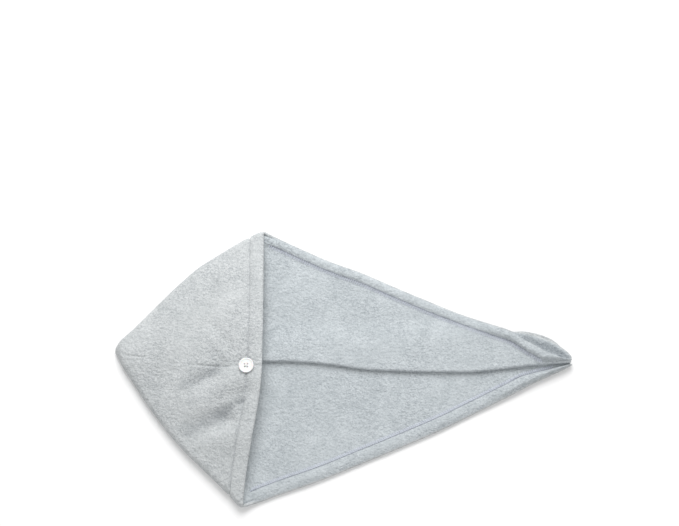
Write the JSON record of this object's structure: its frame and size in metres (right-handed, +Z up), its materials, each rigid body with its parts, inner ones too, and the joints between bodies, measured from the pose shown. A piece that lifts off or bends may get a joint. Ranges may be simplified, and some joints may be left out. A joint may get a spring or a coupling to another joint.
{
  "type": "hair turban towel",
  "caption": "Hair turban towel of plush fleece laid flat: a folded pocket hood with a turned hem, a pleated tapering tail, a sewn-on button and an elastic loop to fasten it.",
  "frame": {"origin": "on the surface that the towel lies on, under the middle of its bounding box", "axes": "+X from the hood's nose to the tail's tip, +Y to the upper corner of the hood's opening, +Z up from the surface"},
  "size_m": [0.6369, 0.3892, 0.033],
  "materials": {
    "fleece": "matt light grey coral fleece with a short brushed pile",
    "button": "glossy white moulded polyester",
    "thread": "matt white cotton thread",
    "elastic": "matt grey covered elastic"
  },
  "bodies": {
    "root": {"fleece_body": "fleece", "button": "button", "button_thread": "thread", "elastic_loop": "elastic"}
  },
  "joints": []
}
